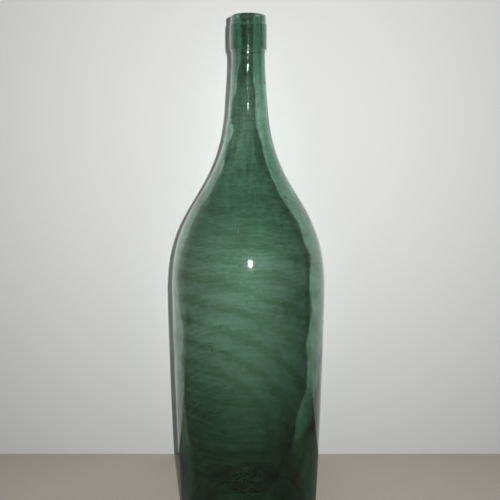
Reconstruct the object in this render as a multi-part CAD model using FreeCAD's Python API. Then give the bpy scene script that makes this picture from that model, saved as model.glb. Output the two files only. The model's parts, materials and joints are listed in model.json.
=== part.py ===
"""Hand-blown glass carboy, standing on its base, with its mouth open.

The vessel is glass all through, and is made of the three pieces of glass that its maker joined while hot:
bottle_body, the blown bubble with its neck, shoulder, wall, heel and pushed-up base; lip_collar, the band
of glass laid round the sheared end of the neck; and pontil_scar, the disc of glass that the pontil iron
left under the push-up. Each is one solid of revolution about Z, in millimetres. The origin is the centre
of the base, at the height of the surface that the carboy stands on.
"""
import FreeCAD, Part
import math
import os

# ---- Driving dimensions, in millimetres ----

# Lengths along the axis, from the base up.
heel_height = 13.0          # from the ground to where the heel's curve meets the wall
wall_length = 241.0         # from the heel to the belly, the widest place
shoulder_length = 186.0     # from the belly to the foot of the neck
neck_length = 49.0          # from the foot of the neck to the underside of the collar
collar_length = 24.0        # the collar's broad band
lip_length = 8.0            # the narrower ring of the collar, above its band

# Outside radii.
bearing_radius = 59.0       # middle of the flat ring that the carboy stands on
heel_radius = 73.9          # where the heel's curve meets the wall
belly_radius = 78.0
neck_foot_radius = 18.7
neck_waist_radius = 16.25   # the narrowest place of the neck
collar_radius = 17.8
lip_radius = 16.8

# Bore and walls.
bore_radius = 12.0
bore_length = 38.0          # the straight stretch that takes the cork
neck_end_wall = 2.5         # the sheared end of the neck, inside the collar
neck_foot_wall = 1.8
belly_wall = 3.0
heel_wall = 8.0

# The base and its push-up.
bearing_width = 4.0         # the flat ring worn on the underside
bearing_round = 2.5         # its inner edge
base_thickness = 12.4       # from the ground to the bottom of the groove round the push-up
groove_radius = 3.6         # the rounded groove inside, between the push-up and the wall
push_up_height = 41.2       # from the ground to the push-up's crown, inside the bottle
push_up_wall = 4.5          # the glass at the crown
scar_radius = 21.5
scar_thickness = 5.5        # at its middle

# Shape of the curves.
neck_lean = 3.3             # degrees that the neck leans in at its foot
waist_drop = 9.0            # from the underside of the collar down to the neck's narrowest place
shoulder_pull = 0.52        # how far the shoulder runs on in line with the wall, as a share of its length
neck_pull = 0.50            # the same for the neck's line, down into the shoulder
shoulder_drop = 3.0         # how much lower the middle of the shoulder's inner curve runs, so it is thicker
neck_run = (0.33, 0.33)     # shares of the neck's length that its outside runs on in line at foot and waist
throat_run = (0.50, 0.25)   # the same for its inside, which opens quickly below the bore
collar_round = 1.2          # both edges of the band
lip_round = 2.0             # outer edge of the mouth
mouth_round = 2.4           # inner edge of the mouth
scar_round = 1.2            # lower edge of the scar

# ---- Heights and radii that follow ----

belly_z = heel_height + wall_length
neck_foot_z = belly_z + shoulder_length
collar_z = neck_foot_z + neck_length
band_top_z = collar_z + collar_length
mouth_z = band_top_z + lip_length
neck_end_radius = bore_radius + neck_end_wall
mouth_edge = min(mouth_round, 0.96 * neck_end_wall)
bore_foot_z = mouth_z - mouth_edge - bore_length
neck_slope = math.tan(math.radians(neck_lean))
bearing_outer = bearing_radius + bearing_width / 2
bearing_inner = bearing_radius - bearing_width / 2
AXIS = FreeCAD.Vector(0, 0, 1)
CENTRE = FreeCAD.Vector(0, 0, 0)


def at(radius, height):
    """The point of an outline at a radius and a height."""
    return FreeCAD.Vector(radius, 0, height)


def line(start, end):
    """A straight edge."""
    return Part.LineSegment(start, end).toShape()


def arc(start, middle, end):
    """A round edge through three points."""
    return Part.Arc(start, middle, end).toShape()


def curve(*poles):
    """A Bezier edge, which leaves its first pole towards its second and reaches its last from the one before."""
    bezier = Part.BezierCurve()
    bezier.setPoles(list(poles))
    return bezier.toShape()


def corner(centre, radius, start_angle, end_angle):
    """A round edge about a centre, between two angles in degrees from the outward direction."""
    points = []
    for angle in (start_angle, (start_angle + end_angle) / 2, end_angle):
        turn = math.radians(angle)
        points.append(at(centre.x + radius * math.cos(turn), centre.z + radius * math.sin(turn)))
    return arc(*points)


def turned(edges):
    """The solid that a closed outline makes when it is turned about the axis."""
    face = Part.Face(Part.Wire(Part.__sortEdges__(edges)))
    solid = face.revolve(CENTRE, AXIS, 360)
    return Part.Solid(solid.Shells[0])


def shoulder(belly, foot, drop=0.0):
    """The shoulder's curve, from the belly's radius up to the radius at the foot of the neck."""
    pull = neck_pull * shoulder_length
    return curve(at(belly, belly_z), at(belly, belly_z + shoulder_pull * shoulder_length - drop),
                 at(foot + neck_slope * pull, neck_foot_z - pull - drop), at(foot, neck_foot_z))


def wall(lower, lower_z, belly):
    """The wall's slight swell, from a lower radius up to the belly, where it is upright."""
    return curve(at(lower, lower_z), at(belly, (lower_z + belly_z) / 2), at(belly, belly_z))


def neck(foot, top, top_z, run):
    """The neck's taper, from its foot up to where it is upright."""
    length = top_z - neck_foot_z
    lower = run[0] * length
    upper = run[1] * length
    return curve(at(foot, neck_foot_z), at(foot - neck_slope * lower, neck_foot_z + lower),
                 at(top, top_z - upper), at(top, top_z))


def push_up(crown_z, foot, foot_z):
    """One side of the push-up, from its crown on the axis out and down to its steep foot."""
    rise = crown_z - foot_z
    return curve(at(0, crown_z), at(0.55 * foot, crown_z), at(foot, foot_z + 0.44 * rise), at(foot, foot_z))


def outside():
    """The outer outline of the blown body, from the crown of the push-up out, round and up to the collar."""
    waist_z = collar_z - waist_drop
    heel_slope = (belly_radius - heel_radius) / (wall_length / 2)
    heel_pull = 0.55 * heel_height
    inner_edge = bearing_inner - bearing_round
    heel = curve(at(bearing_outer, 0), at(bearing_outer + heel_pull, 0),
                 at(heel_radius - heel_slope * heel_pull, heel_height - heel_pull), at(heel_radius, heel_height))
    return [
        push_up(push_up_height - push_up_wall, inner_edge, bearing_round),
        corner(at(bearing_inner, bearing_round), bearing_round, 180, 270),
        line(at(bearing_inner, 0), at(bearing_outer, 0)),
        heel,
        wall(heel_radius, heel_height, belly_radius),
        shoulder(belly_radius, neck_foot_radius),
        neck(neck_foot_radius, neck_waist_radius, waist_z, neck_run),
        line(at(neck_waist_radius, waist_z), at(neck_waist_radius, collar_z)),
    ]


def neck_end():
    """The sheared end of the neck that stands inside the collar, from its step up to the mouth's top."""
    return [
        line(at(neck_waist_radius, collar_z), at(neck_end_radius, collar_z)),
        line(at(neck_end_radius, collar_z), at(neck_end_radius, mouth_z)),
        line(at(neck_end_radius, mouth_z), at(bore_radius + mouth_edge, mouth_z)),
    ]


def inside():
    """The inner outline of the blown body, from the mouth down to the push-up's crown."""
    groove_z = base_thickness + groove_radius
    groove_outer = heel_radius - heel_wall
    groove_middle = groove_outer - groove_radius
    return [
        corner(at(bore_radius + mouth_edge, mouth_z - mouth_edge), mouth_edge, 90, 180),
        line(at(bore_radius, mouth_z - mouth_edge), at(bore_radius, bore_foot_z)),
        neck(neck_foot_radius - neck_foot_wall, bore_radius, bore_foot_z, throat_run),
        shoulder(belly_radius - belly_wall, neck_foot_radius - neck_foot_wall, shoulder_drop),
        wall(groove_outer, groove_z, belly_radius - belly_wall),
        corner(at(groove_middle, groove_z), groove_radius, 0, -180),
        push_up(push_up_height, groove_middle - groove_radius, groove_z),
    ]


def make_bottle_body():
    """The blown glass: neck, shoulder, wall, heel and push-up in one skin."""
    core = line(at(0, push_up_height), at(0, push_up_height - push_up_wall))
    return turned(outside() + neck_end() + inside() + [core])


def make_lip_collar():
    """The band and ring of glass laid round the neck's end, seated on the neck's step."""
    band = collar_radius - collar_round
    ring = lip_radius - lip_round
    return turned([
        line(at(neck_end_radius, collar_z), at(band, collar_z)),
        corner(at(band, collar_z + collar_round), collar_round, -90, 0),
        line(at(collar_radius, collar_z + collar_round), at(collar_radius, band_top_z - collar_round)),
        corner(at(band, band_top_z - collar_round), collar_round, 0, 90),
        line(at(band, band_top_z), at(lip_radius, band_top_z)),
        line(at(lip_radius, band_top_z), at(lip_radius, mouth_z - lip_round)),
        corner(at(ring, mouth_z - lip_round), lip_round, 0, 90),
        line(at(ring, mouth_z), at(neck_end_radius, mouth_z)),
        line(at(neck_end_radius, mouth_z), at(neck_end_radius, collar_z)),
    ])


def make_pontil_scar(body):
    """The disc of glass under the push-up's crown, its top face moulded to the body."""
    crown_z = push_up_height - push_up_wall
    foot_z = crown_z - scar_thickness
    flat = scar_radius - scar_round
    edges = [
        line(at(0, foot_z), at(flat, foot_z)),
        corner(at(flat, foot_z + scar_round), scar_round, -90, 0),
        line(at(scar_radius, foot_z + scar_round), at(scar_radius, crown_z)),
        line(at(scar_radius, crown_z), at(0, crown_z)),
        line(at(0, crown_z), at(0, foot_z)),
    ]
    return turned(edges).cut(body).Solids[0]


def main():
    """Make the three pieces of glass and write one file for each."""
    os.makedirs("parts", exist_ok=True)
    body = make_bottle_body()
    pieces = {
        "bottle_body": body,
        "lip_collar": make_lip_collar(),
        "pontil_scar": make_pontil_scar(body),
    }
    for name, piece in pieces.items():
        print(name, "valid", piece.isValid(), "volume", round(piece.Volume / 1000, 1), "ml")
        piece.exportStep("parts/" + name + ".step")


main()
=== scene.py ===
"""Looks of the hand-blown glass carboy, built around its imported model.

The carboy is one continuous skin of green glass: a blown bubble with a drawn-out neck, a band laid round its
mouth, and the scar that the pontil iron left under its pushed-up base. The frame gives its sizes. Glass bends
what is seen through it, so the skin is one closed mesh with an outer face, an inner face and the seeds, the
small bubbles between them, and it stands for all three solids of the frame.
"""
from __future__ import annotations

import json
import logging
import math
from dataclasses import dataclass, field
from enum import Enum
from typing import NamedTuple

import bpy
import numpy as np
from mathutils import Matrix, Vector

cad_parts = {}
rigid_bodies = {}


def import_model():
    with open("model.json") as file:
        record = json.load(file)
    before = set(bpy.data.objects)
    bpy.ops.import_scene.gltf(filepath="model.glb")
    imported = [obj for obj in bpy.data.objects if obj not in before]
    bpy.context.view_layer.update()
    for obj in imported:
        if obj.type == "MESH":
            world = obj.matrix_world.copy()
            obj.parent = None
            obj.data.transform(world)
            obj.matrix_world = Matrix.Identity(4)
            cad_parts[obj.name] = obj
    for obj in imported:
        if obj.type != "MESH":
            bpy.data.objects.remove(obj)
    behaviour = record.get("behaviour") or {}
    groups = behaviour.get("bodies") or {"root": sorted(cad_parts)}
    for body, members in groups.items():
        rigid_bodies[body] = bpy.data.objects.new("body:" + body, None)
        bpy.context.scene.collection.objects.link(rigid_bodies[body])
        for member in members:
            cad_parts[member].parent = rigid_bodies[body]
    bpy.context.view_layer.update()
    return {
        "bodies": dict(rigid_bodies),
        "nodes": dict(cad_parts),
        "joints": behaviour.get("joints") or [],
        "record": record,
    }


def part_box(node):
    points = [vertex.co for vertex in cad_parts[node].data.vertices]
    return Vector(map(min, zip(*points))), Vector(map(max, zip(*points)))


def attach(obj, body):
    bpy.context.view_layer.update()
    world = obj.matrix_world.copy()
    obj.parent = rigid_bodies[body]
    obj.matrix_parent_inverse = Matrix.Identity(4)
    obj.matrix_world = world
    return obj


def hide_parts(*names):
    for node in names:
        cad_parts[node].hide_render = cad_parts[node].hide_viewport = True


MM = 0.001
CLOSEST = 0.05                  # between two rows of the skin, in millimetres
WELD = 0.002                    # within which two corners of the skin are one, in millimetres
NOTES = ("facing", "inside", "outside", "other")    # what the profile says of each of its rows
SOFT = {"interpolation_type": "SMOOTHSTEP"}
LOG = logging.getLogger("carboy")

Point = tuple[float, float]     # a radius and a height, in millimetres


# ---------------------------------------------------------------- small helpers

def linear(sheet_colour: str) -> tuple[float, float, float, float]:
    """Turn an sRGB hex colour into linear red, green, blue and alpha.

    Args:
        sheet_colour: six hex digits after a number sign.

    Returns:
        The linear colour, with an alpha of 1.
    """
    parts = [int(sheet_colour[start:start + 2], 16) / 255 for start in (1, 3, 5)]
    lit = [part / 12.92 if part <= 0.04045 else ((part + 0.055) / 1.055) ** 2.4 for part in parts]
    return (lit[0], lit[1], lit[2], 1.0)


def put(tree: bpy.types.NodeTree, kind: str, settings: dict | None = None,
        inputs: dict | None = None) -> bpy.types.Node:
    """Add a node to a tree.

    Args:
        tree: the shader or geometry tree.
        kind: the node's type name.
        settings: its properties by name.
        inputs: by input name or index, a value, an output socket, or a node for its first output.

    Returns:
        The new node.
    """
    node = tree.nodes.new(kind)
    for key, value in (settings or {}).items():
        setattr(node, key, value)
    for key, value in (inputs or {}).items():
        if isinstance(value, bpy.types.Node):
            value = value.outputs[0]
        if isinstance(value, bpy.types.NodeSocket):
            tree.links.new(value, node.inputs[key])
        else:
            node.inputs[key].default_value = value
    return node


def open_tree(name: str, inputs: dict[str, str], output: str) -> tuple[bpy.types.NodeTree, object]:
    """Start a Geometry Nodes tree with named inputs and one output.

    Args:
        name: the tree's name.
        inputs: each input's type by its name, in order.
        output: the output's name and type, with a colon between them.

    Returns:
        The tree, and its input sockets.
    """
    tree = bpy.data.node_groups.new(name, "GeometryNodeTree")
    for label, kind in inputs.items():
        tree.interface.new_socket(label, in_out="INPUT", socket_type="NodeSocket" + kind)
    label, kind = output.split(":")
    tree.interface.new_socket(label, in_out="OUTPUT", socket_type="NodeSocket" + kind)
    return tree, put(tree, "NodeGroupInput").outputs


def blank(block: bpy.types.Material | bpy.types.World) -> bpy.types.NodeTree:
    """Give a new material or world an empty tree.

    Args:
        block: the material or world.

    Returns:
        The tree.
    """
    block.use_nodes = True
    block.node_tree.nodes.clear()
    return block.node_tree


def set_inputs(modifier: bpy.types.Modifier, values: dict[str, object]) -> None:
    """Set a Geometry Nodes modifier's inputs by the names that its tree gives them.

    Args:
        modifier: the modifier, with its tree already chosen.
        values: each input's value by its name.
    """
    for item in modifier.node_group.interface.items_tree:
        if item.in_out == "INPUT" and item.name in values:
            modifier[item.identifier] = values[item.name]


# ---------------------------------------------------------------- outlines and waves

def bezier(poles: list[Point], step: float) -> list[Point]:
    """Sample a Bezier curve of three or four poles.

    Args:
        poles: radius and height of each pole, in millimetres.
        step: the spacing wanted between samples, in millimetres.

    Returns:
        The samples, ends included.
    """
    reach = sum(math.dist(a, b) for a, b in zip(poles, poles[1:]))
    count = max(4, math.ceil(reach / step))
    degree = len(poles) - 1
    samples = []
    for index in range(count + 1):
        share = index / count
        weights = [math.comb(degree, k) * (1 - share) ** (degree - k) * share ** k for k in range(degree + 1)]
        samples.append((sum(w * p[0] for w, p in zip(weights, poles)),
                        sum(w * p[1] for w, p in zip(weights, poles))))
    return samples


def corner(centre: Point, radius: float, start: float, end: float, step: float) -> list[Point]:
    """Sample a round corner.

    Args:
        centre: its radius and height, in millimetres.
        radius: the corner's radius, in millimetres.
        start: where it starts, in degrees from the outward direction.
        end: where it ends.
        step: the spacing wanted between samples, in millimetres.

    Returns:
        The samples, ends included.
    """
    count = max(4, math.ceil(abs(math.radians(end - start)) * radius / step))
    turns = [math.radians(start + (end - start) * index / count) for index in range(count + 1)]
    return [(centre[0] + radius * math.cos(turn), centre[1] + radius * math.sin(turn)) for turn in turns]


def straight(start: Point, end: Point, step: float) -> list[Point]:
    """Sample a straight run, ends included, about a step apart."""
    count = max(1, math.ceil(math.dist(start, end) / step))
    return [(start[0] + (end[0] - start[0]) * index / count,
             start[1] + (end[1] - start[1]) * index / count) for index in range(count + 1)]


@dataclass(frozen=True)
class Waves:
    """A smooth, uneven field over the glass: a sum of waves that wind round the bottle.

    Each wave has a whole number of lobes round the axis and a length along the skin, so the field closes on
    itself. Lengths are in millimetres.
    """

    height: float                       # about the largest value
    lobes: tuple[int, int]              # fewest and most lobes round the axis
    lengths: tuple[float, float]        # shortest and longest wave along the skin
    count: int
    seed: int
    left_share: float = 0.5             # share of the waves that wind to the left

    @staticmethod
    def group() -> bpy.types.NodeTree:
        """Make the node group that adds the waves up, one in each turn of a repeat zone.

        Returns:
            The group, which takes a place on the skin and the field's sizes, and gives its value there.
        """
        tree, given = open_tree("waves_over_glass", {
            "Turn": "Float", "Along": "Float", "Size": "Float", "Fewest Lobes": "Int", "Most Lobes": "Int",
            "Shortest": "Float", "Longest": "Float", "Count": "Int", "Seed": "Int", "Left Share": "Float",
        }, "Value:Float")
        first = put(tree, "GeometryNodeRepeatInput")
        last = put(tree, "GeometryNodeRepeatOutput")
        first.pair_with_output(last)
        last.repeat_items.clear()
        last.repeat_items.new("FLOAT", "Total")
        tree.links.new(given["Count"], first.inputs["Iterations"])
        turn_of = first.outputs["Iteration"]
        lobes = put(tree, "FunctionNodeRandomValue", {"data_type": "INT"}, {
            4: given["Fewest Lobes"], 5: given["Most Lobes"], "ID": turn_of, "Seed": given["Seed"]})
        dice = put(tree, "FunctionNodeRandomValue", {"data_type": "FLOAT_VECTOR"}, {
            "ID": turn_of, "Seed": given["Seed"]})
        each = put(tree, "ShaderNodeSeparateXYZ", inputs={0: dice}).outputs
        length = put(tree, "ShaderNodeMapRange", inputs={
            "Value": each[0], "To Min": given["Shortest"], "To Max": given["Longest"]})
        winds = put(tree, "ShaderNodeMath", {"operation": "LESS_THAN"}, {0: each[1], 1: given["Left Share"]})
        side = put(tree, "ShaderNodeMapRange", inputs={
            "Value": winds, "To Min": -2 * math.pi, "To Max": 2 * math.pi})
        pitch = put(tree, "ShaderNodeMath", {"operation": "DIVIDE"}, {0: side, 1: length})
        phase = put(tree, "ShaderNodeMath", {"operation": "MULTIPLY"}, {0: each[2], 1: 2 * math.pi})
        rising = put(tree, "ShaderNodeMath", {"operation": "MULTIPLY_ADD"}, {
            0: given["Along"], 1: pitch, 2: phase})
        angle = put(tree, "ShaderNodeMath", {"operation": "MULTIPLY_ADD"}, {
            0: given["Turn"], 1: lobes.outputs[2], 2: rising})
        wave = put(tree, "ShaderNodeMath", {"operation": "COSINE"}, {0: angle})
        total = put(tree, "ShaderNodeMath", {"operation": "ADD"}, {
            0: first.outputs["Total"], 1: wave})
        tree.links.new(total.outputs[0], last.inputs["Total"])
        double = put(tree, "ShaderNodeMath", {"operation": "MULTIPLY"}, {0: given["Count"], 1: 2.0})
        spread = put(tree, "ShaderNodeMath", {"operation": "SQRT"}, {0: double})
        scale = put(tree, "ShaderNodeMath", {"operation": "DIVIDE"}, {0: given["Size"], 1: spread})
        value = put(tree, "ShaderNodeMath", {"operation": "MULTIPLY"}, {
            0: last.outputs["Total"], 1: scale})
        put(tree, "NodeGroupOutput", inputs={"Value": value})
        return tree


class Zone(Enum):
    """The stretches of the skin, in the order that its rows run."""

    SCAR = "scar"
    UNDERSIDE = "underside"
    FOOT = "foot"
    WALL = "wall"
    SHOULDER = "shoulder"
    NECK = "neck"
    COLLAR = "collar"
    BORE = "bore"
    THROAT = "throat"
    INNER_SHOULDER = "inner shoulder"
    INNER_WALL = "inner wall"
    GROOVE = "groove"
    PUSH_UP = "push-up"


class Stretch(NamedTuple):
    """How much of each kind of unevenness a zone takes, and the spacing of its rows in millimetres."""

    broad: float = 0.0
    cords: float = 0.0
    throat: float = 0.0
    skin: float = 0.0
    rings: float = 0.0
    scar: float = 0.0
    thick: float = 0.0
    off_axis: float = 0.0
    step: float = 1.1
    edge_step: float = 0.5              # on rounded edges


# The foot takes no unevenness, and stands flat.
STRETCHES = {
    Zone.SCAR: Stretch(scar=1.0, step=1.2),
    Zone.UNDERSIDE: Stretch(cords=0.5, step=1.6),
    Zone.FOOT: Stretch(edge_step=0.7),
    Zone.WALL: Stretch(skin=1.0, step=5.0),
    Zone.SHOULDER: Stretch(skin=1.0, step=3.4),
    Zone.NECK: Stretch(skin=2.5, rings=0.35, step=1.0),
    Zone.COLLAR: Stretch(rings=0.7, step=0.8, edge_step=0.32),
    Zone.BORE: Stretch(throat=0.4, rings=2.1),
    Zone.THROAT: Stretch(cords=0.4, throat=1.0, rings=0.9, off_axis=0.5),
    Zone.INNER_SHOULDER: Stretch(broad=1.0, cords=1.0, thick=1.0, off_axis=1.0, step=3.2),
    Zone.INNER_WALL: Stretch(broad=1.0, cords=1.0, thick=1.0, off_axis=1.0, step=4.0),
    Zone.GROOVE: Stretch(broad=0.45, cords=0.45, thick=0.45, step=0.7),
    Zone.PUSH_UP: Stretch(broad=0.45, cords=0.45, thick=0.45, step=1.6),
}


@dataclass(frozen=True)
class Seeds:
    """Small bubbles of air caught in the wall, drawn out along it and flattened between its faces.

    Lengths are in millimetres.
    """

    per_area: float = 1200.0            # seeds on a square metre of wall
    smallest: float = 0.25              # half-lengths
    largest: float = 2.1
    rarity: float = 4.5                 # how much rarer large ones are
    flat: float = 0.38                  # thickness, as a share of the length
    narrow: float = 0.62                # width, as a share of the length
    depth: float = 0.95                 # below the outer face
    seed: int = 7
    wall_share: float = 0.99            # seeds start where the skin has this much of the outer face's waves

    # One long blister in the shoulder, drawn out as the neck was pulled.
    blister_height: float = 324.0
    blister_turn: float = math.radians(-98.5)
    blister_tilt: float = math.radians(7)
    blister_depth: float = 1.2
    blister_size: tuple[float, float, float] = (1.9, 0.85, 11.0)    # half-lengths across, inward and along

    def inputs(self, outside: list[Point]) -> dict[str, object]:
        """Work out the values of the tree's inputs.

        Args:
            outside: the shoulder's outer outline, as radii and heights from the neck down or the belly up.

        Returns:
            The values by name.
        """
        radii, heights = np.array(sorted(outside, key=lambda sample: sample[1])).T
        lower, radius, upper = np.interp([self.blister_height + rise for rise in (-1, 0, 1)], heights, radii)
        lean = math.atan((upper - lower) / 2)
        radius -= self.blister_depth
        return {
            "Blister Place": (radius * MM * math.cos(self.blister_turn),
                              radius * MM * math.sin(self.blister_turn), self.blister_height * MM),
            "Blister Turn": (lean, self.blister_tilt, self.blister_turn + math.pi / 2),
            "Blister Size": tuple(length * MM for length in self.blister_size),
            "Per Area": self.per_area, "Smallest": self.smallest * MM, "Largest": self.largest * MM,
            "Rarity": self.rarity, "Flat": self.flat, "Narrow": self.narrow, "Depth": self.depth * MM,
            "Seed": self.seed}

    def tree(self, finish: bpy.types.Material) -> bpy.types.NodeTree:
        """Make the tree that scatters seeds in the wall, and adds them to the skin.

        Args:
            finish: the glass.

        Returns:
            The tree, whose inputs are the skin and the seeds' sizes.
        """
        tree, given = open_tree("seeds_in_wall", {
            "Skin Mesh": "Geometry", "Per Area": "Float", "Smallest": "Float", "Largest": "Float",
            "Rarity": "Float", "Flat": "Float", "Narrow": "Float", "Depth": "Float", "Seed": "Int",
            "Blister Place": "Vector", "Blister Turn": "Vector", "Blister Size": "Vector",
        }, "Glass:Geometry")
        rolled = put(tree, "GeometryNodeInputNamedAttribute", {"data_type": "FLOAT"}, {"Name": "rolled"})
        outer = put(tree, "FunctionNodeCompare", {"operation": "GREATER_THAN"}, {
            0: rolled, 1: self.wall_share})
        scattered = put(tree, "GeometryNodeDistributePointsOnFaces", inputs={
            "Mesh": given["Skin Mesh"], "Selection": outer, "Density": given["Per Area"],
            "Seed": given["Seed"]})
        down = put(tree, "ShaderNodeMath", {"operation": "MULTIPLY"}, {0: given["Depth"], 1: -1.0})
        inward = put(tree, "ShaderNodeVectorMath", {"operation": "SCALE"}, {
            0: scattered.outputs["Normal"], "Scale": down})
        sunk = put(tree, "GeometryNodeSetPosition", inputs={
            "Geometry": scattered.outputs["Points"], "Offset": inward})
        chance = put(tree, "FunctionNodeRandomValue", {"data_type": "FLOAT"}, {"Seed": given["Seed"]})
        rare = put(tree, "ShaderNodeMath", {"operation": "POWER"}, {0: chance.outputs[1], 1: given["Rarity"]})
        size = put(tree, "ShaderNodeMapRange", inputs={
            "Value": rare, "To Min": given["Smallest"], "To Max": given["Largest"]})
        shape = put(tree, "ShaderNodeCombineXYZ", inputs={0: given["Narrow"], 1: 1.0, 2: given["Flat"]})
        scale = put(tree, "ShaderNodeVectorMath", {"operation": "SCALE"}, {
            0: shape, "Scale": size})
        ball = put(tree, "GeometryNodeMeshIcoSphere", inputs={"Radius": 1.0, "Subdivisions": 2})
        spread = put(tree, "GeometryNodeInstanceOnPoints", inputs={
            "Points": sunk, "Instance": ball.outputs["Mesh"],
            "Rotation": scattered.outputs["Rotation"], "Scale": scale})
        egg = put(tree, "GeometryNodeMeshIcoSphere", inputs={"Radius": 1.0, "Subdivisions": 4})
        blister = put(tree, "GeometryNodeTransform", inputs={
            "Geometry": egg.outputs["Mesh"], "Translation": given["Blister Place"],
            "Rotation": given["Blister Turn"], "Scale": given["Blister Size"]})
        air = put(tree, "GeometryNodeJoinGeometry")
        tree.links.new(spread.outputs[0], air.inputs[0])
        tree.links.new(blister.outputs[0], air.inputs[0])
        real = put(tree, "GeometryNodeRealizeInstances", inputs={"Geometry": air})
        hollow = put(tree, "GeometryNodeFlipFaces", inputs={"Mesh": real})
        smooth = put(tree, "GeometryNodeSetShadeSmooth", inputs={"Geometry": hollow})
        both = put(tree, "GeometryNodeJoinGeometry")
        tree.links.new(smooth.outputs[0], both.inputs[0])
        tree.links.new(given["Skin Mesh"], both.inputs[0])
        whole = put(tree, "GeometryNodeRealizeInstances", inputs={"Geometry": both})
        dressed = put(tree, "GeometryNodeSetMaterial", inputs={
            "Geometry": whole, "Material": finish})
        put(tree, "NodeGroupOutput", inputs={"Glass": dressed})
        return tree


@dataclass
class BottleGlass:
    """The blown body, its collar and its pontil scar, as one closed skin of glass.

    Sizes are in millimetres. Those that the frame gives are set by from_frame.
    """

    height: float = 521.0
    belly_radius: float = 78.0
    collar_radius: float = 17.8
    collar_foot: float = 489.0
    bore_radius: float = 12.0
    bore_length: float = 38.0
    scar_radius: float = 21.5
    scar_foot: float = 31.2
    scar_edge: float = 1.2              # rounding of its rim
    scar_joint: Point = (0.4, 0.9)      # from its side to where it meets the push-up, outward and upward
    scar_face: tuple[Point, ...] = ((0.0, 1.6), (8.0, 1.4), (13.0, -0.4))   # the torn face, above its rim

    # Heights.
    heel_height: float = 13.0
    belly_height: float = 254.0
    neck_foot_height: float = 440.0
    waist_drop: float = 9.0             # from the collar down to the neck's narrowest place
    lip_length: float = 8.0             # the narrower ring above the collar's band
    collar_crease: Point = (0.25, 0.4)  # under the collar, outward from the neck and down it
    lip_crease: float = 0.5             # over the band

    # Outside radii.
    bearing_outer: float = 61.0
    bearing_inner: float = 57.0
    heel_radius: float = 73.9
    neck_foot_radius: float = 18.7
    waist_radius: float = 16.25
    lip_radius: float = 16.8

    # Walls and the base.
    belly_wall: float = 3.0
    neck_foot_wall: float = 1.8
    heel_wall: float = 8.0
    base_thickness: float = 12.4
    groove_radius: float = 3.6
    push_up_height: float = 41.2
    push_up_wall: float = 4.5

    # Shape of the curves. A pull or a run is how far a curve runs on in line, as a share of its length.
    neck_slope: float = math.tan(math.radians(3.3))
    neck_run: Point = (0.33, 0.33)
    throat_run: Point = (0.50, 0.25)
    shoulder_pull: float = 0.52
    neck_pull: float = 0.50
    push_up_run: Point = (0.55, 0.44)   # level at its crown, and upright at its foot
    heel_pull: float = 0.55
    shoulder_drop: float = 3.0
    edge: float = 2.0                   # rounding of the mouth
    edge_step: float = 0.45
    band_edge: float = 1.2              # rounding of the collar's band
    band_turns: Point = (-80.0, 75.0)   # where it starts below and ends above, in degrees from level
    bearing_round: float = 2.5

    seeds: Seeds = field(default_factory=Seeds)

    # Unevenness of the blown glass. The inside shows it most, because nothing touched it.
    segments: int = 150
    off_axis: tuple[float, float] = (-0.5, 0.1)     # how far the inside is blown off the axis
    thick_height: float = 92.0                      # where the wall is thickest, low on one side
    thick_turn: float = math.radians(-35)
    thick_reach: float = 48.0
    thick_spread: float = 2.2                       # how quickly it thins round the bottle
    thickening: float = 2.6
    calm: float = 6.0                               # the radius within which the waves die away at the axis
    blend: int = 5                                  # rows on each side over which a zone passes into the next
    waves: dict[str, Waves] = field(default_factory=lambda: {
        "Broad": Waves(0.42, (1, 5), (70, 190), 9, 11),         # the wall's slow changes of thickness
        "Cords": Waves(0.10, (2, 8), (22, 55), 14, 23, 1.0),    # ropes of stiffer glass that wind round it
        "Throat": Waves(0.34, (0, 2), (22, 44), 5, 5),          # the drawn neck's inside
        "Skin": Waves(0.05, (1, 6), (30, 90), 9, 31),           # the outside, rolled nearly true
        "Rings": Waves(0.10, (0, 1), (4.5, 9.0), 6, 47),        # marks of the tool that turned the collar
        "Scar": Waves(0.55, (1, 7), (9, 30), 9, 53),            # the torn face under the push-up
    })

    @classmethod
    def from_frame(cls, frame: dict) -> "BottleGlass":
        """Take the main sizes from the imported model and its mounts.


        Returns:
            The bottle's sizes.
        """
        body_low, body_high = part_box("bottle_body")
        collar_low, collar_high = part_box("lip_collar")
        scar_low, scar_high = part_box("pontil_scar")
        mouth = next(m for m in frame["record"]["mounts"] if m["name"] == "mouth_bore")
        return cls(
            height=body_high.z / MM,
            belly_radius=(body_high.x - body_low.x) / 2 / MM,
            collar_radius=(collar_high.x - collar_low.x) / 2 / MM,
            collar_foot=collar_low.z / MM,
            bore_radius=mouth["dims"]["r_mm"],
            bore_length=mouth["dims"]["length_mm"],
            scar_radius=(scar_high.x - scar_low.x) / 2 / MM,
            scar_foot=scar_low.z / MM,
        )

    # ------------------------------------------------ the outline, zone by zone

    def push_up_curve(self, crown: float, foot: float, foot_height: float, zone: Zone) -> list[Point]:
        """Sample one side of the push-up, from its crown out and down to its steep foot.

        Args:
            crown: the crown's height.
            foot: the foot's radius.
            foot_height: the foot's height.
            zone: the zone that gives the spacing.

        Returns:
            The samples.
        """
        level, upright = self.push_up_run
        rise = crown - foot_height
        return bezier([(0.0, crown), (level * foot, crown), (foot, foot_height + upright * rise),
                       (foot, foot_height)], STRETCHES[zone].step)

    def shoulder_curve(self, belly: float, foot: float, drop: float, zone: Zone) -> list[Point]:
        """Sample the shoulder, from the belly up to the foot of the neck.

        Args:
            belly: the radius at the belly.
            foot: the radius at the neck's foot.
            drop: how much lower the middle of the curve runs.
            zone: the zone that gives the spacing.

        Returns:
            The samples.
        """
        length = self.neck_foot_height - self.belly_height
        pull = self.neck_pull * length
        return bezier([(belly, self.belly_height),
                       (belly, self.belly_height + self.shoulder_pull * length - drop),
                       (foot + self.neck_slope * pull, self.neck_foot_height - pull - drop),
                       (foot, self.neck_foot_height)], STRETCHES[zone].step)

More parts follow.
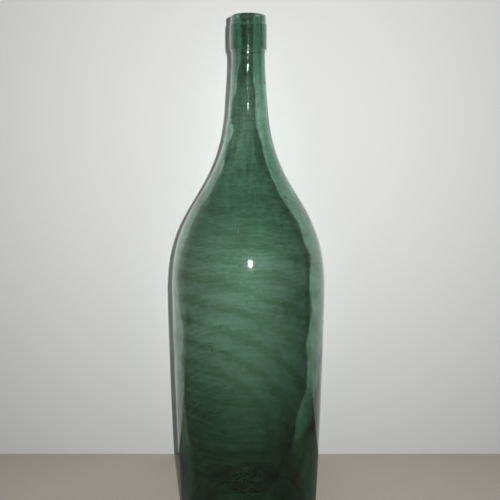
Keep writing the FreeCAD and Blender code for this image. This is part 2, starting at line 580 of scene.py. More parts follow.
    def neck_curve(self, foot: float, top: Point, run: Point, zone: Zone) -> list[Point]:
        """Sample the neck, from its foot up to where it is upright."""
        length = top[1] - self.neck_foot_height
        return bezier([(foot, self.neck_foot_height),
                       (foot - self.neck_slope * run[0] * length, self.neck_foot_height + run[0] * length),
                       (top[0], top[1] - run[1] * length), top], STRETCHES[zone].step)

    def wall_curve(self, foot: Point, belly: float, zone: Zone) -> list[Point]:
        """Sample the wall's slight swell, from its foot up to the belly."""
        return bezier([foot, (belly, (foot[1] + self.belly_height) / 2), (belly, self.belly_height)],
                      STRETCHES[zone].step)

    def under(self) -> dict[Zone, list[Point]]:
        """Lay out the outer skin below the bottle, from the axis out to the top of the heel.

        Returns:
            The samples of each zone, in order.
        """
        rim = STRETCHES[Zone.SCAR]
        foot = STRETCHES[Zone.FOOT]
        bare = [sample for sample in self.push_up_curve(
            self.push_up_height - self.push_up_wall, self.bearing_inner - self.bearing_round,
            self.bearing_round, Zone.UNDERSIDE) if sample[0] > self.scar_radius + self.scar_edge]
        scar_side = self.scar_radius - self.scar_edge
        scar_top = max(sample[1] for sample in bare) + self.scar_joint[1]
        face = [(radius, self.scar_foot + rise) for radius, rise in self.scar_face]
        slope = (self.belly_radius - self.heel_radius) / ((self.belly_height - self.heel_height) / 2)
        pull = self.heel_pull * self.heel_height
        return {
            Zone.SCAR: bezier([*face, (scar_side, self.scar_foot)], rim.step)
            + corner((scar_side, self.scar_foot + self.scar_edge), self.scar_edge, -90, 0, rim.edge_step)
            + [(self.scar_radius + self.scar_joint[0], scar_top)],
            Zone.UNDERSIDE: bare,
            Zone.FOOT: corner((self.bearing_inner, self.bearing_round), self.bearing_round, 180, 270,
                              foot.edge_step)
            + straight((self.bearing_inner, 0), (self.bearing_outer, 0), foot.step)
            + bezier([(self.bearing_outer, 0), (self.bearing_outer + pull, 0),
                      (self.heel_radius - slope * pull, self.heel_height - pull),
                      (self.heel_radius, self.heel_height)], foot.step),
        }

    def around(self) -> dict[Zone, list[Point]]:
        """Lay out the outer skin above the heel, up to the collar's foot.

        Returns:
            The samples of each zone, in order.
        """
        waist = (self.waist_radius, self.collar_foot - self.waist_drop)
        top = (self.waist_radius, self.collar_foot - self.collar_crease[1])
        return {
            Zone.WALL: self.wall_curve((self.heel_radius, self.heel_height), self.belly_radius, Zone.WALL),
            Zone.SHOULDER: self.shoulder_curve(self.belly_radius, self.neck_foot_radius, 0, Zone.SHOULDER),
            Zone.NECK: self.neck_curve(self.neck_foot_radius, waist, self.neck_run, Zone.NECK)
            + straight(waist, top, STRETCHES[Zone.NECK].step),
        }

    def mouth(self) -> dict[Zone, list[Point]]:
        """Lay out the collar, from its foot up over the mouth, and down the bore.

        Returns:
            The samples of each zone, in order.
        """
        row = STRETCHES[Zone.COLLAR]
        lip_foot = self.height - self.lip_length
        band = self.collar_radius - self.band_edge
        band_foot = self.collar_foot + self.band_edge
        band_top = lip_foot - self.band_edge
        top = self.height - self.edge
        return {
            Zone.COLLAR: [(self.waist_radius + self.collar_crease[0], self.collar_foot)]
            + corner((band, band_foot), self.band_edge, self.band_turns[0], 0, row.edge_step)
            + straight((self.collar_radius, band_foot), (self.collar_radius, band_top), row.step)
            + corner((band, band_top), self.band_edge, 0, self.band_turns[1], row.edge_step)
            + straight((self.lip_radius, lip_foot + self.lip_crease), (self.lip_radius, top), row.step)
            + corner((self.lip_radius - self.edge, top), self.edge, 0, 90, self.edge_step)
            + corner((self.bore_radius + self.edge, top), self.edge, 90, 180, self.edge_step),
            Zone.BORE: straight((self.bore_radius, top), (self.bore_radius, top - self.bore_length),
                                STRETCHES[Zone.BORE].step),
        }

    def within(self) -> dict[Zone, list[Point]]:
        """Lay out the inner skin, from the bore down to the push-up's crown.

        Returns:
            The samples of each zone, in order.
        """
        belly = self.belly_radius - self.belly_wall
        neck_foot = self.neck_foot_radius - self.neck_foot_wall
        bore_foot = self.height - self.edge - self.bore_length
        groove_height = self.base_thickness + self.groove_radius
        wall_foot = self.heel_radius - self.heel_wall
        middle = wall_foot - self.groove_radius
        return {
            Zone.THROAT: self.neck_curve(neck_foot, (self.bore_radius, bore_foot), self.throat_run,
                                         Zone.THROAT)[::-1],
            Zone.INNER_SHOULDER: self.shoulder_curve(belly, neck_foot, self.shoulder_drop,
                                                     Zone.INNER_SHOULDER)[::-1],
            Zone.INNER_WALL: self.wall_curve((wall_foot, groove_height), belly, Zone.INNER_WALL)[::-1],
            Zone.GROOVE: corner((middle, groove_height), self.groove_radius, 0, -180,
                                STRETCHES[Zone.GROOVE].step),
            Zone.PUSH_UP: self.push_up_curve(self.push_up_height, middle - self.groove_radius, groove_height,
                                             Zone.PUSH_UP)[::-1],
        }

    # ------------------------------------------------ the skin

    def profile(self) -> bpy.types.Object:
        """Lay the whole outline out as loose points, which carry the notes that the skin's tree reads.

        Returns:
            A scratch object with a point for each row: its radius in X and its height in Z, in millimetres.
        """
        stations: list[Point] = []
        zones: list[Zone] = []
        for zone, samples in {**self.under(), **self.around(), **self.mouth(), **self.within()}.items():
            for sample in samples:
                if not stations or math.dist(stations[-1], sample) > CLOSEST:
                    stations.append(sample)
                    zones.append(zone)
        line = np.array(stations)
        line[[0, -1], 0] = 0.0
        along = np.concatenate([[0.0], np.cumsum(np.linalg.norm(np.diff(line, axis=0), axis=1))])
        facing = np.gradient(line, axis=0)
        facing /= np.linalg.norm(facing, axis=1)[:, None]
        window = np.ones(2 * self.blend + 1) / (2 * self.blend + 1)
        shares = np.stack([np.convolve(np.pad(kind, self.blend, mode="edge"), window, mode="valid")
                           for kind in np.array([STRETCHES[zone] for zone in zones]).T], axis=1)
        shares[[zone is Zone.FOOT for zone in zones]] = 0.0
        shares *= np.clip(line[:, 0] / self.calm, 0, 1)[:, None]
        nothing = np.zeros(len(line))
        mesh = bpy.data.meshes.new("profile")
        mesh.from_pydata(np.stack([line[:, 0], nothing, line[:, 1]], axis=1).tolist(), [], [])
        share = dict(zip(Stretch._fields, shares.T))
        for name, columns in zip(NOTES, (
            (facing[:, 1], nothing, -facing[:, 0]),
            (share["broad"], share["cords"], share["throat"]),
            (share["skin"], share["rings"], share["scar"]),
            (share["thick"], share["off_axis"], along),
        )):
            kept = mesh.attributes.new(name, "FLOAT_VECTOR", "POINT")
            kept.data.foreach_set("vector", np.stack(columns, axis=1).ravel())
        points = bpy.data.objects.new("profile", mesh)
        bpy.context.scene.collection.objects.link(points)
        return points

    def skin_tree(self, finish: bpy.types.Material) -> bpy.types.NodeTree:
        """Make the tree that turns the outline about the axis and gives the glass its waves.

        Args:
            finish: the glass.

        Returns:
            The tree, whose inputs are the profile, the number of segments, and the size of each kind of wave.
        """
        tree, given = open_tree("blown_skin", {
            "Profile": "Geometry", "Segments": "Int", **{name: "Float" for name in self.waves},
            "Thickening": "Float", "Thick Turn": "Float", "Thick Height": "Float", "Thick Reach": "Float",
            "Off Axis": "Vector"}, "Skin Mesh:Geometry")

        # A grid with a row for each point of the profile, and a column for each turn about the axis.
        rows = put(tree, "GeometryNodeAttributeDomainSize", {"component": "MESH"}, {0: given["Profile"]})
        columns = put(tree, "ShaderNodeMath", {"operation": "ADD"}, {0: given["Segments"], 1: 1.0})
        grid = put(tree, "GeometryNodeMeshGrid", inputs={
            "Vertices X": rows.outputs["Point Count"], "Vertices Y": columns})
        number = put(tree, "GeometryNodeInputIndex")
        share = put(tree, "ShaderNodeMath", {"operation": "DIVIDE"}, {0: number, 1: columns})
        row = put(tree, "ShaderNodeMath", {"operation": "FLOOR"}, {0: share})
        column = put(tree, "ShaderNodeMath", {"operation": "MODULO"}, {0: number, 1: columns})
        part = put(tree, "ShaderNodeMath", {"operation": "DIVIDE"}, {0: column, 1: given["Segments"]})
        turn = put(tree, "ShaderNodeMath", {"operation": "MULTIPLY"}, {0: part, 1: 2 * math.pi}).outputs[0]

        # What the profile says of the row.
        told: dict[str, bpy.types.NodeSocket] = {
            "place": put(tree, "GeometryNodeInputPosition").outputs[0]}
        for name in NOTES:
            told[name] = put(tree, "GeometryNodeInputNamedAttribute", {"data_type": "FLOAT_VECTOR"}, {
                "Name": name}).outputs[0]
        here = {name: put(tree, "GeometryNodeSampleIndex", {"data_type": "FLOAT_VECTOR", "domain": "POINT"}, {
            "Geometry": given["Profile"], "Value": value, "Index": row}).outputs[0]
            for name, value in told.items()}
        place = put(tree, "ShaderNodeSeparateXYZ", inputs={0: here["place"]}).outputs
        facing = put(tree, "ShaderNodeSeparateXYZ", inputs={0: here["facing"]}).outputs
        other = put(tree, "ShaderNodeSeparateXYZ", inputs={0: here["other"]}).outputs

        # The waves. Those of the outer skin only sink into the glass, so the carboy keeps its size.
        group = Waves.group()
        value: dict[str, bpy.types.NodeSocket] = {}
        for name, wave in self.waves.items():
            value[name] = put(tree, "GeometryNodeGroup", {"node_tree": group}, {
                "Turn": turn, "Along": other[2], "Size": given[name], "Fewest Lobes": wave.lobes[0],
                "Most Lobes": wave.lobes[1], "Shortest": wave.lengths[0], "Longest": wave.lengths[1],
                "Count": wave.count, "Seed": wave.seed, "Left Share": wave.left_share}).outputs[0]
        for name in ("Skin", "Rings"):
            value[name] = put(tree, "ShaderNodeMath", {"operation": "SUBTRACT"}, {
                0: value[name], 1: given[name]}).outputs[0]
        inner = put(tree, "ShaderNodeCombineXYZ", inputs={
            0: value["Broad"], 1: value["Cords"], 2: value["Throat"]})
        outer = put(tree, "ShaderNodeCombineXYZ", inputs={
            0: value["Skin"], 1: value["Rings"], 2: value["Scar"]})
        inner_lift = put(tree, "ShaderNodeVectorMath", {"operation": "DOT_PRODUCT"}, {
            0: here["inside"], 1: inner})
        outer_lift = put(tree, "ShaderNodeVectorMath", {"operation": "DOT_PRODUCT"}, {
            0: here["outside"], 1: outer})
        lift = put(tree, "ShaderNodeMath", {"operation": "ADD"}, {
            0: inner_lift.outputs["Value"], 1: outer_lift.outputs["Value"]})

        # The thick place, where the bubble cooled first: a soft swelling round one height and one turn.
        rise = put(tree, "ShaderNodeMath", {"operation": "SUBTRACT"}, {0: place[2], 1: given["Thick Height"]})
        reach = put(tree, "ShaderNodeMath", {"operation": "DIVIDE"}, {0: rise, 1: given["Thick Reach"]})
        squared = put(tree, "ShaderNodeMath", {"operation": "POWER"}, {0: reach, 1: 2.0})
        away = put(tree, "ShaderNodeMath", {"operation": "SUBTRACT"}, {0: turn, 1: given["Thick Turn"]})
        facing_it = put(tree, "ShaderNodeMath", {"operation": "COSINE"}, {0: away})
        around = put(tree, "ShaderNodeMath", {"operation": "MULTIPLY_ADD"}, {
            0: facing_it, 1: self.thick_spread, 2: -self.thick_spread})
        power = put(tree, "ShaderNodeMath", {"operation": "SUBTRACT"}, {
            0: around, 1: squared})
        swell = put(tree, "ShaderNodeMath", {"operation": "EXPONENT"}, {0: power})
        thick = put(tree, "ShaderNodeMath", {"operation": "MULTIPLY"}, {0: swell, 1: given["Thickening"]})
        lift = put(tree, "ShaderNodeMath", {"operation": "MULTIPLY_ADD"}, {
            0: thick, 1: other[0], 2: lift}).outputs[0]

        # The place on the skin.
        radius = put(tree, "ShaderNodeMath", {"operation": "MULTIPLY_ADD"}, {
            0: facing[0], 1: lift, 2: place[0]})
        height = put(tree, "ShaderNodeMath", {"operation": "MULTIPLY_ADD"}, {
            0: facing[2], 1: lift, 2: place[2]})
        beside = put(tree, "ShaderNodeMath", {"operation": "COSINE"}, {0: turn})
        behind = put(tree, "ShaderNodeMath", {"operation": "SINE"}, {0: turn})
        x = put(tree, "ShaderNodeMath", {"operation": "MULTIPLY"}, {0: radius, 1: beside})
        y = put(tree, "ShaderNodeMath", {"operation": "MULTIPLY"}, {0: radius, 1: behind})
        middle = put(tree, "ShaderNodeVectorMath", {"operation": "SCALE"}, {
            0: given["Off Axis"], "Scale": other[1]})
        spot = put(tree, "ShaderNodeCombineXYZ", inputs={0: x, 1: y, 2: height})
        moved = put(tree, "ShaderNodeVectorMath", {"operation": "ADD"}, {0: spot, 1: middle})
        metres = put(tree, "ShaderNodeVectorMath", {"operation": "SCALE"}, {0: moved, "Scale": MM})
        laid = put(tree, "GeometryNodeSetPosition", inputs={
            "Geometry": grid.outputs["Mesh"], "Position": metres})
        rolled = put(tree, "ShaderNodeSeparateXYZ", inputs={0: here["outside"]})
        marked = put(tree, "GeometryNodeStoreNamedAttribute", {"data_type": "FLOAT", "domain": "POINT"}, {
            "Geometry": laid, "Name": "rolled", "Value": rolled})
        closed = put(tree, "GeometryNodeMergeByDistance", inputs={
            "Geometry": marked, "Distance": WELD * MM})
        outward = put(tree, "GeometryNodeFlipFaces", inputs={"Mesh": closed})
        smooth = put(tree, "GeometryNodeSetShadeSmooth", inputs={"Geometry": outward})
        whole = put(tree, "GeometryNodeRealizeInstances", inputs={"Geometry": smooth})
        dressed = put(tree, "GeometryNodeSetMaterial", inputs={
            "Geometry": whole, "Material": finish})
        put(tree, "NodeGroupOutput", inputs={"Skin Mesh": dressed})
        return tree

    def build(self, finish: bpy.types.Material) -> bpy.types.Object:
        """Make the skin and its seeds as one mesh, in metres.

        Args:
            finish: the glass.

        Returns:
            The new object, with nothing left live on it.
        """
        points = self.profile()
        turned = points.modifiers.new("skin", "NODES")
        turned.node_group = self.skin_tree(finish)
        set_inputs(turned, {
            "Segments": self.segments, "Thickening": self.thickening, "Thick Turn": self.thick_turn,
            "Thick Height": self.thick_height, "Thick Reach": self.thick_reach,
            "Off Axis": (*self.off_axis, 0.0), **{name: wave.height for name, wave in self.waves.items()}})
        seeded = points.modifiers.new("seeds", "NODES")
        seeded.node_group = self.seeds.tree(finish)
        set_inputs(seeded, self.seeds.inputs(self.around()[Zone.SHOULDER]))
        graph = bpy.context.evaluated_depsgraph_get()
        mesh = bpy.data.meshes.new_from_object(points.evaluated_get(graph))
        mesh.name = "blown_glass"
        mesh.materials.clear()
        mesh.materials.append(finish)
        for spare in [kept.name for kept in mesh.attributes if kept.name in ("rolled", *NOTES)]:
            mesh.attributes.remove(mesh.attributes[spare])
        points.modifiers.clear()
        bpy.data.objects.remove(points)
        skin = bpy.data.objects.new("blown_glass", mesh)
        bpy.context.scene.collection.objects.link(skin)
        return skin


# ---------------------------------------------------------------- finishes

class Fade(NamedTuple):
    """A level that passes from one value to another between two readings. Heights are in metres."""

    start: float
    end: float
    before: float = 0.0
    after: float = 1.0

    def of(self, reading: bpy.types.NodeSocket) -> dict[str, object]:
        """Give the inputs of a Map Range node for a reading."""
        return {"Value": reading, "From Min": self.start, "From Max": self.end,
                "To Min": self.before, "To Max": self.after}


def faded(tree: bpy.types.NodeTree, level: object,
          fades: list[tuple[Fade, bpy.types.NodeSocket]]) -> bpy.types.NodeSocket:
    """Multiply a level by fades.

    Args:
        tree: the material's nodes.
        level: a number or a node.
        fades: each fade and what it reads.

    Returns:
        The product.
    """
    for fade, reading in fades:
        part = put(tree, "ShaderNodeMapRange", SOFT, fade.of(reading))
        level = put(tree, "ShaderNodeMath", {"operation": "MULTIPLY"}, {0: level, 1: part})
    return level.outputs[0]


class Marks(NamedTuple):
    """Soft, uneven marks in or on the glass. Sizes are in millimetres."""

    across: float
    up: float
    tilt: float = 0.0                   # degrees
    detail: float = 3.0
    roughness: float = 0.6
    distortion: float = 0.0

    def lay(self, tree: bpy.types.NodeTree, place: bpy.types.NodeSocket) -> bpy.types.NodeSocket:
        """Add the marks to a material.

        Args:
            tree: the material's nodes.
            place: the place on the glass.

        Returns:
            A value from 0 to 1.
        """
        level = 1 / (self.across * MM)
        laid = put(tree, "ShaderNodeMapping", inputs={
            "Vector": place, "Rotation": (0.0, math.radians(self.tilt), 0.0),
            "Scale": (level, level, 1 / (self.up * MM))})
        return put(tree, "ShaderNodeTexNoise", inputs={
            "Vector": laid, "Scale": 1.0, "Detail": self.detail, "Roughness": self.roughness,
            "Distortion": self.distortion}).outputs["Fac"]


@dataclass(frozen=True)
class Cords:
    """The streaks that a hand-mixed melt leaves in blown glass. Places are in millimetres.

    Soft arcs sweep through one side of the body, where the gather was turned as it was blown, with fine
    level lines over them. In the shoulder and the neck the streaks are drawn out along the axis. In the
    glass's tint the body's arcs and lines are partly the melt's cords and partly painted light: bright and
    dark streaks that stand in for the light which the glass gathers and spreads.
    """

    arc_centre: tuple[float, float] = (-48.0, 129.0)    # what the arcs sweep round, across and up
    arc_spacing: float = 21.0
    arc_wobble: float = 2.2
    arc_phase: float = -0.9
    arc_detail: tuple[float, float, float] = (3.0, 12.0, 0.6)       # octaves, fineness and roughness
    arc_width: float = 0.55             # the power that thins their dark parts
    arcs_out: Fade = Fade(0.048, 0.084)                 # where they set in, out from their centre
    arcs_up: Fade = Fade(0.230, 0.300, 1.0, 0.3)        # where they die away towards the shoulder
    arcs_side: Fade = Fade(-0.020, 0.020, 1.0, 0.1)     # from the side that has them to the other
    lines: Marks = Marks(90.0, 3.0, tilt=4.0, distortion=0.4)
    streaks: Marks = Marks(6.0, 60.0)
    drawn: Fade = Fade(0.300, 0.385)    # the heights over which the lines give way to the streaks
    clouds: Marks = Marks(16.667, 16.667, detail=4.0, roughness=0.7, distortion=1.2)
    grain: Marks = Marks(8.0, 1.8, tilt=-6.0, detail=2.0, distortion=0.6)   # as fine as still shows
    grain_share: float = 0.60           # of the grain, against the clouds
    fine_share: float = 0.52            # of both, against the rest
    contrast: Fade = Fade(0.42, 0.58)

    def pattern(self, tree: bpy.types.NodeTree, arc_share: float) -> bpy.types.NodeSocket:
        """Add the streaks to a material.

        Args:
            tree: the material's nodes.
            arc_share: how much the arcs count against the fine lines, where they are strongest.

        Returns:
            A value of about 0 in the dark streaks and 1 in the bright ones.
        """
        place = put(tree, "ShaderNodeTexCoord").outputs["Object"]
        axes = put(tree, "ShaderNodeSeparateXYZ", inputs={0: place}).outputs
        centred = put(tree, "ShaderNodeMapping", inputs={
            "Vector": place, "Location": (-self.arc_centre[0] * MM, 0.0, -self.arc_centre[1] * MM)})
        # At a scale of 1, the wave texture's rings are a twentieth of a full turn apart.
        octaves, fineness, roughness = self.arc_detail
        arcs = put(tree, "ShaderNodeTexWave", {"wave_type": "RINGS", "rings_direction": "Y"}, {
            "Vector": centred, "Scale": 2 * math.pi / (20 * self.arc_spacing * MM),
            "Distortion": self.arc_wobble, "Detail": octaves, "Detail Scale": fineness,
            "Detail Roughness": roughness, "Phase Offset": self.arc_phase})
        thin = put(tree, "ShaderNodeMath", {"operation": "POWER"}, {
            0: arcs.outputs["Fac"], 1: self.arc_width})
        flat = put(tree, "ShaderNodeVectorMath", {"operation": "MULTIPLY"}, {0: centred, 1: (1.0, 0.0, 1.0)})
        reach = put(tree, "ShaderNodeVectorMath", {"operation": "LENGTH"}, {0: flat}).outputs["Value"]
        swept = faded(tree, arc_share, [
            (self.arcs_up, axes[2]), (self.arcs_side, axes[1]), (self.arcs_out, reach)])
        body = put(tree, "ShaderNodeMix", {"data_type": "FLOAT"}, {
            0: swept, 2: self.lines.lay(tree, place), 3: thin})
        drawn = put(tree, "ShaderNodeMapRange", SOFT, self.drawn.of(axes[2]))
        coarse = put(tree, "ShaderNodeMix", {"data_type": "FLOAT"}, {
            0: drawn, 2: body, 3: self.streaks.lay(tree, place)})
        fine = put(tree, "ShaderNodeMix", {"data_type": "FLOAT"}, {
            0: self.grain_share, 2: self.clouds.lay(tree, place), 3: self.grain.lay(tree, place)})
        mixed = put(tree, "ShaderNodeMix", {"data_type": "FLOAT"}, {0: self.fine_share, 2: coarse, 3: fine})
        return put(tree, "ShaderNodeMapRange", SOFT, self.contrast.of(mixed)).outputs[0]


@dataclass(frozen=True)
class BottleGreen:
    """Blown soda-lime glass, coloured sea green by iron, fire-polished.

    The colour is in the depth of the glass, so thin walls are pale and the base is nearly black. The blown
    skin is clear and shiny under a thin film of dust, which the coat gives: it softens the lamp's highlight.
    Fine ripples run round it where it turned on the iron. It is dull where it stands and where the pontil
    was.
    """

    name: str = "blown_soda_lime_glass"
    ior: float = 1.52
    density: float = 190.0              # per metre, against the colour below
    depth_colour: tuple[float, float, float] = (0.115, 0.445, 0.300)
    # The body's tints: the streaks between them are partly cords and partly painted light and shade.
    clear: str = "#FAFCFB"
    streaked: str = "#D8E1D3"
    drawn: str = "#E0EFE8"              # the neck's closer streaks
    drawn_streaked: str = "#BBD0C3"
    drawing: Fade = Fade(0.260, 0.400)  # the heights over which the body's tint gives way to the neck's
    cords: Cords = Cords()
    arc_share: float = 0.6

    # Roughness.
    scuffs: Fade = Fade(0.0004, 0.0022, 0.42, 0.02)     # from the ring that it stands on to the polished skin
    torn: float = 0.40                  # of the pontil scar
    scar: tuple[float, float] = (0.0215, 0.0345)        # its radius and its top
    shards: Marks = Marks(3.5, 3.5, detail=2.0)         # its facets
    shard_height: float = 2.5

    # Ripples and film.
    ripples: Marks = Marks(60.0, 1.7, detail=2.0, roughness=0.5, distortion=0.3)
    ripple_height: float = 0.15
    ripple_strength: float = 0.15
    film: Fade = Fade(0.455, 0.485, 0.12, 1.0)          # thickest at the mouth, where hands have been
    film_roughness: float = 0.12
    film_ior: float = 1.5

    # What straight light meets.
    passing: tuple[float, float] = (0.54, 0.86)         # through a dark and a bright streak
    passing_arcs: float = 0.3
    edge: Fade = Fade(0.63, 0.69, 1.0, 0.12)            # as the wall turns away from the light
    neck: Fade = Fade(0.400, 0.488, 1.0, 0.03)
    heel: Fade = Fade(0.035, 0.100, 0.2, 1.0)

    def build(self) -> bpy.types.Material:
        """Make the glass.

        Returns:
            The material.
        """
        material = bpy.data.materials.new(self.name)
        tree = blank(material)
        place = put(tree, "ShaderNodeTexCoord").outputs["Object"]
        height = put(tree, "ShaderNodeSeparateXYZ", inputs={0: place}).outputs[2]

        # Tint: darker and paler streaks in the body, and closer ones in the neck. The body's are partly cords
        # and partly painted light, standing in for streaks of light that the glass gathers and spreads.
        streaks = self.cords.pattern(tree, self.arc_share)
        body = put(tree, "ShaderNodeMix", {"data_type": "RGBA"}, {
            0: streaks, 6: linear(self.streaked), 7: linear(self.clear)})
        drawn = put(tree, "ShaderNodeMix", {"data_type": "RGBA"}, {
            0: streaks, 6: linear(self.drawn_streaked), 7: linear(self.drawn)})
        neck = put(tree, "ShaderNodeMapRange", SOFT, self.drawing.of(height))
        tint = put(tree, "ShaderNodeMix", {"data_type": "RGBA"}, {
            0: neck, 6: body.outputs[2], 7: drawn.outputs[2]})

        # Roughness: scuffed underfoot, torn where the pontil iron was, polished elsewhere.
        flat = put(tree, "ShaderNodeVectorMath", {"operation": "MULTIPLY"}, {0: place, 1: (1.0, 1.0, 0.0)})
        radius = put(tree, "ShaderNodeVectorMath", {"operation": "LENGTH"}, {0: flat})
        foot = put(tree, "ShaderNodeMapRange", inputs=self.scuffs.of(height))
        near = put(tree, "ShaderNodeMath", {"operation": "LESS_THAN"}, {
            0: radius.outputs["Value"], 1: self.scar[0]})
        under = put(tree, "ShaderNodeMath", {"operation": "LESS_THAN"}, {0: height, 1: self.scar[1]})
        scar = put(tree, "ShaderNodeMath", {"operation": "MULTIPLY"}, {0: near, 1: under})
        rough = put(tree, "ShaderNodeMath", {"operation": "MULTIPLY_ADD"}, {0: scar, 1: self.torn, 2: foot})

        # Fine level ripples, and the scar's facets.
        bump = put(tree, "ShaderNodeBump", inputs={
            "Strength": self.ripple_strength, "Distance": self.ripple_height * MM,
            "Height": self.ripples.lay(tree, place)})
        facets = put(tree, "ShaderNodeBump", inputs={
            "Strength": scar, "Distance": self.shard_height * MM, "Height": self.shards.lay(tree, place),
            "Normal": bump})
        film = put(tree, "ShaderNodeMapRange", SOFT, self.film.of(height))
        self.pour(tree, put(tree, "ShaderNodeBsdfPrincipled", inputs={
            "Base Color": tint.outputs[2], "Transmission Weight": 1.0, "IOR": self.ior, "Roughness": rough,
            "Normal": facets, "Coat Weight": film, "Coat Roughness": self.film_roughness,
            "Coat IOR": self.film_ior}))
        return material

    def shade(self) -> bpy.types.Material:
        """Make what straight light meets in place of the glass.

        It has the same depth of colour. Its edges turn light away, as do the neck and the heel, which are
        curved tightly enough to bend it aside, and its cords gather light into streaks and leave others dark.

        Returns:
            A clear material for the copy that casts the bottle's shadow.
        """
        material = bpy.data.materials.new("shadow_of_" + self.name)
        tree = blank(material)
        facing = put(tree, "ShaderNodeLayerWeight", inputs={"Blend": 0.5}).outputs["Facing"]
        place = put(tree, "ShaderNodeTexCoord").outputs["Object"]
        height = put(tree, "ShaderNodeSeparateXYZ", inputs={0: place}).outputs[2]
        streaks = put(tree, "ShaderNodeMapRange", inputs={
            "Value": self.cords.pattern(tree, self.passing_arcs), "To Min": self.passing[0],
            "To Max": self.passing[1]})
        passed = faded(tree, streaks, [(self.edge, facing), (self.neck, height), (self.heel, height)])
        self.pour(tree, put(tree, "ShaderNodeBsdfTransparent", inputs={"Color": passed}))
        return material

    def pour(self, tree: bpy.types.NodeTree, surface: bpy.types.Node) -> None:
        """End a material's tree in a surface and the glass's depth of colour."""
        depth = put(tree, "ShaderNodeVolumeAbsorption", inputs={
            "Color": (*self.depth_colour, 1.0), "Density": self.density})
        put(tree, "ShaderNodeOutputMaterial", inputs={"Surface": surface, "Volume": depth})


@dataclass(frozen=True)
class Plain:
    """A plain matte surface for the floor and the backdrop: one colour where it is seen, and a second where
    the glass mirrors it, which on the floor is a painted reflection darker than the floor.
    """

    name: str
    colour: str
    mirrored: str                       # its colour in the glass's reflections; the floor's is a painted reflection, darker than the floor itself

    def build(self) -> bpy.types.Material:
        """Make the material, which is seen from its front only, so that it never hides the bottle.

        Returns:
            The material.
        """
        material = bpy.data.materials.new(self.name)
        tree = blank(material)
        path = put(tree, "ShaderNodeLightPath")
        # Reflection rays see the mirrored colour: on the floor this is a painted reflection, darker than the
        # floor.
        colour = put(tree, "ShaderNodeMix", {"data_type": "RGBA"}, {
            0: path.outputs["Is Reflection Ray"], 6: linear(self.colour), 7: linear(self.mirrored)})
        matte = put(tree, "ShaderNodeBsdfDiffuse", inputs={"Color": colour.outputs[2]})
        nothing = put(tree, "ShaderNodeBsdfTransparent")
        side = put(tree, "ShaderNodeNewGeometry").outputs["Backfacing"]
        mix = put(tree, "ShaderNodeMixShader", inputs={0: side, 1: matte, 2: nothing})
        put(tree, "ShaderNodeOutputMaterial", inputs={"Surface": mix})
        return material


# ---------------------------------------------------------------- the studio

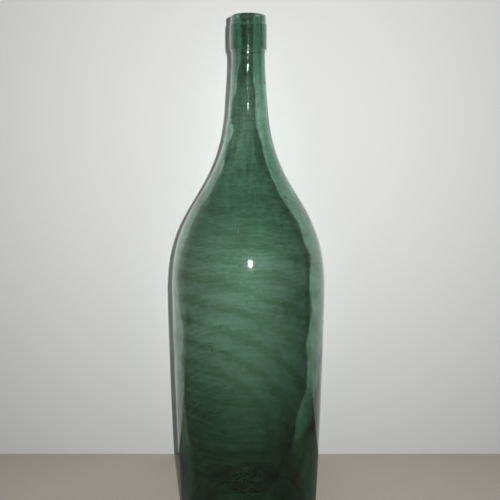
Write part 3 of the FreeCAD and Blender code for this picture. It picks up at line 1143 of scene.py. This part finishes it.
@dataclass
class Studio:
    """A pale floor and backdrop, lamps beside the lens, a soft world, and the camera. In metres.

    Glass would stop a lamp as if it were opaque, because the bent paths through it are too rare to trace. So
    two small lamps stand in one place. The flash lights the stage, and passes the bottle; a copy that only
    shadow rays meet takes the bottle's share from its light. The key lights the bottle alone, its inner
    faces too.
    """

    half_width: float = 1.5
    wall_distance: float = 0.119        # behind the bottle's axis
    wall_height: float = 1.6
    # The floor's second colour is a painted reflection: the glass mirrors the floor darker than it is.
    floor: Plain = Plain("pale_matte_floor", "#C2B9AF", "#7A7571")
    wall: Plain = Plain("pale_matte_backdrop", "#E8E8E7", "#E8E8E7")
    floor_past_eye: float = 0.04        # how far the floor runs on under the camera
    eye: tuple[float, float, float] = (0.0016, -0.6003, 0.4114)
    pitch: float = math.radians(11)
    lens: float = 43.2
    sensor: float = 36.0
    lamp_pitch: float = math.radians(3)
    lamp_offset: tuple[float, float] = (0.026, 0.015)
    flash_size: tuple[float, float] = (0.003, 0.003)    # so small that its shadows are crisp
    key_size: tuple[float, float] = (0.032, 0.036)      # what the glass mirrors
    lamp_power: float = 4.4
    fill: float = 0.12
    reflected: float = 0.10
    backdrop: float = 0.80

    def build(self, glass: bpy.types.Object, shade: bpy.types.Material) -> None:
        """Make the stage, the lamps, the bottle's shadow, the world and the camera.

        Args:
            glass: the bottle.
            shade: what its glass takes from straight light.
        """
        wide, far = self.half_width, self.wall_distance
        near, top = self.eye[1] - self.floor_past_eye, self.wall_height
        self.plane("floor", self.floor, [(-wide, near, 0), (wide, near, 0), (wide, far, 0), (-wide, far, 0)])
        self.plane("backdrop", self.wall, [
            (-wide, far, 0), (wide, far, 0), (wide, far, top), (-wide, far, top)])
        copy = self.shadow(glass, shade)
        self.light("flash", self.flash_size, glass, [glass], False)
        self.light("key", self.key_size, glass, [glass, copy], True)
        self.surroundings()
        self.camera()

    def plane(self, name: str, finish: Plain, corners: list[tuple[float, float, float]]) -> None:
        """Add one flat stage piece.

        Args:
            name: its name.
            finish: its surface.
            corners: its four corners, counter-clockwise as seen from its front.
        """
        mesh = bpy.data.meshes.new(name)
        mesh.from_pydata(corners, [], [(0, 1, 2, 3)])
        mesh.materials.append(finish.build())
        sheet = bpy.data.objects.new(name, mesh)
        bpy.context.scene.collection.objects.link(sheet)

    def light(self, name: str, size: tuple[float, float], glass: bpy.types.Object,
              passed: list[bpy.types.Object], for_glass: bool) -> None:
        """Add a small lamp beside the lens.

        Args:
            name: the lamp's name.
            size: its width and height.
            glass: the bottle.
            passed: what doesn't stop its light.
            for_glass: whether it lights the bottle alone, or everything else.
        """
        data = bpy.data.lights.new(name, "AREA")
        data.shape = "RECTANGLE"
        data.size, data.size_y = size
        data.energy = self.lamp_power
        lamp = bpy.data.objects.new(name, data)
        aside, above = self.lamp_offset
        lamp.location = (self.eye[0] + aside, self.eye[1], self.eye[2] + above)
        lamp.rotation_euler = (math.pi / 2 - self.lamp_pitch, 0, 0)
        lamp.visible_transmission = False
        blockers = bpy.data.collections.new(name + "_passes")
        for member, thing in enumerate(passed):
            blockers.objects.link(thing)
            blockers.collection_objects[member].light_linking.link_state = "EXCLUDE"
        lamp.light_linking.blocker_collection = blockers
        receivers = bpy.data.collections.new(name + "_lights")
        receivers.objects.link(glass)
        receivers.collection_objects[0].light_linking.link_state = "INCLUDE" if for_glass else "EXCLUDE"
        lamp.light_linking.receiver_collection = receivers
        bpy.context.scene.collection.objects.link(lamp)

    def shadow(self, glass: bpy.types.Object, shade: bpy.types.Material) -> bpy.types.Object:
        """Add the copy of the bottle that gives it its green shadow.

        Args:
            glass: the bottle.
            shade: what its glass takes from straight light.

        Returns:
            The copy, which only shadow rays meet.
        """
        copy = bpy.data.objects.new("shadow_of_glass", glass.data.copy())
        copy.data.materials[0] = shade
        copy.visible_camera = copy.visible_diffuse = copy.visible_glossy = False
        copy.visible_transmission = copy.visible_volume_scatter = False
        bpy.context.scene.collection.objects.link(copy)
        return copy

    def surroundings(self) -> None:
        """Set the world: pale where it is seen, dimmer where it lights and where it is mirrored."""
        world = bpy.data.worlds.new("studio")
        tree = blank(world)
        path = put(tree, "ShaderNodeLightPath")
        seen = put(tree, "ShaderNodeMath", {"operation": "MAXIMUM"}, {
            0: path.outputs["Is Camera Ray"], 1: path.outputs["Is Transmission Ray"]})
        mirrored = put(tree, "ShaderNodeMix", {"data_type": "FLOAT"}, {
            0: path.outputs["Is Glossy Ray"], 2: self.fill, 3: self.reflected})
        level = put(tree, "ShaderNodeMix", {"data_type": "FLOAT"}, {
            0: seen, 2: mirrored, 3: self.backdrop})
        back = put(tree, "ShaderNodeBackground", inputs={
            "Color": (1.0, 1.0, 1.0, 1.0), "Strength": level})
        put(tree, "ShaderNodeOutputWorld", inputs={"Surface": back})
        bpy.context.scene.world = world

    def camera(self) -> None:
        """Add the camera and make it the scene's."""
        data = bpy.data.cameras.new("camera")
        data.lens = self.lens
        data.sensor_width = self.sensor
        data.clip_start = 0.01
        view = bpy.data.objects.new("camera", data)
        view.location = self.eye
        view.rotation_euler = (math.pi / 2 - self.pitch, 0, 0)
        bpy.context.scene.collection.objects.link(view)
        bpy.context.scene.camera = view


# ---------------------------------------------------------------- the whole

def main() -> None:
    """Load the frame, build the carboy and the studio, and log the skin's number of faces."""
    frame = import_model()
    bpy.context.scene.view_settings.view_transform = "Standard"
    bottle = BottleGlass.from_frame(frame)
    glass = BottleGreen()
    skin = bottle.build(glass.build())
    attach(skin, "root")
    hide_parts("bottle_body", "lip_collar", "pontil_scar")
    LOG.info("%s: %d faces", skin.name, len(skin.data.polygons))
    Studio().build(skin, glass.shade())


if __name__ == "__main__":
    logging.basicConfig(level=logging.INFO, format="%(name)s: %(message)s")
    main()
